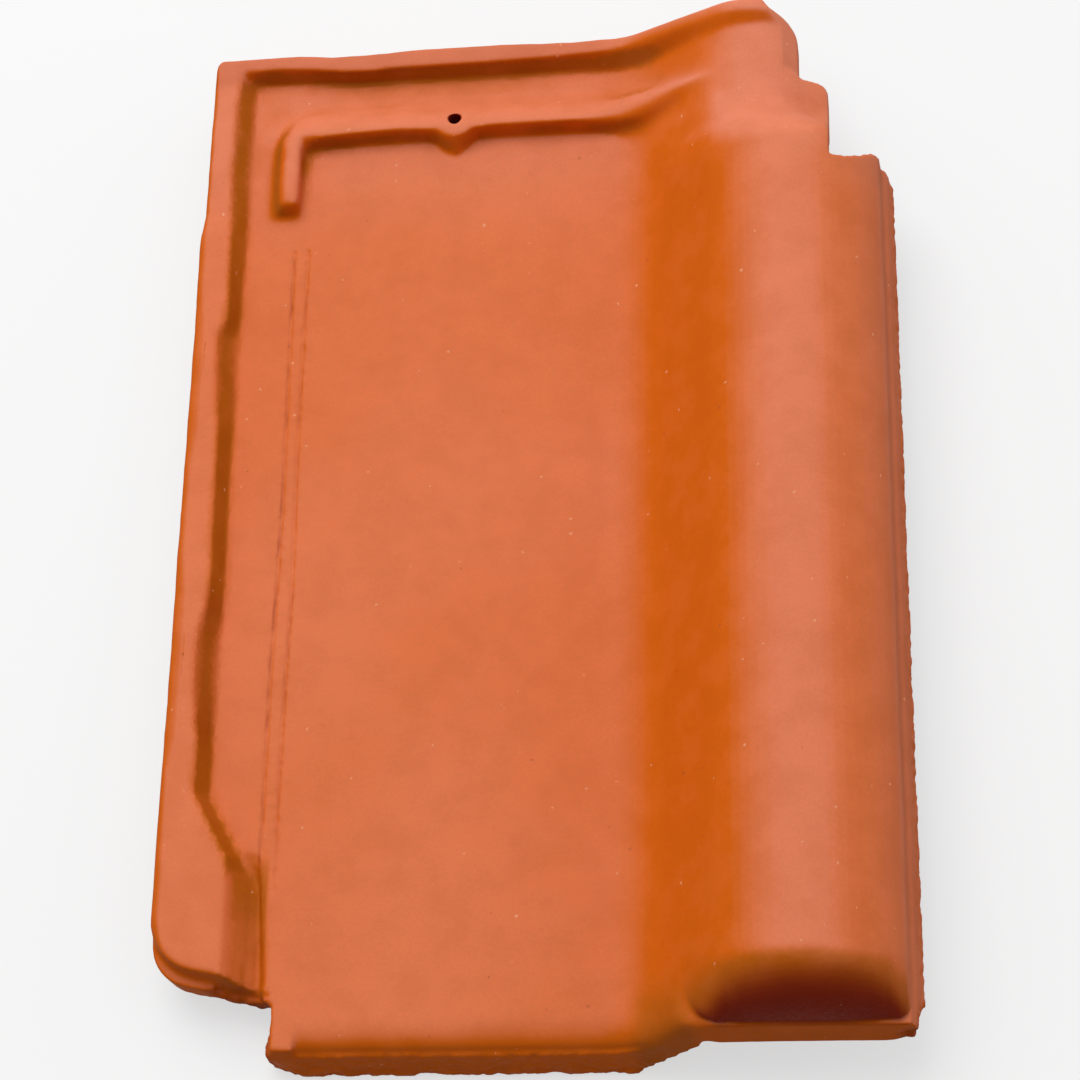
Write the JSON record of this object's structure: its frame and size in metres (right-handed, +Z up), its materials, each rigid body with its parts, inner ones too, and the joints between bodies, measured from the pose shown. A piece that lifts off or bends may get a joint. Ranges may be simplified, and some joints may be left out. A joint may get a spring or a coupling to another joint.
{
  "type": "clay roof tile",
  "caption": "Interlocking clay roof tile with a flat pan, one side roll closed at the tail, a ribbed side lock, a raised head lock and a nail hole.",
  "frame": {"origin": "centre of the bounding box at the level floor the tile lies on, under its nibs and tail edge", "axes": "+Y up the slope from the tail edge to the head edge, +Z up out of the pan's top face, +X across the tile towards the roll"},
  "size_m": [0.258, 0.385, 0.066],
  "materials": {
    "fired_clay": "matte"
  },
  "bodies": {
    "root": {"roof_tile": "fired_clay"}
  },
  "joints": []
}
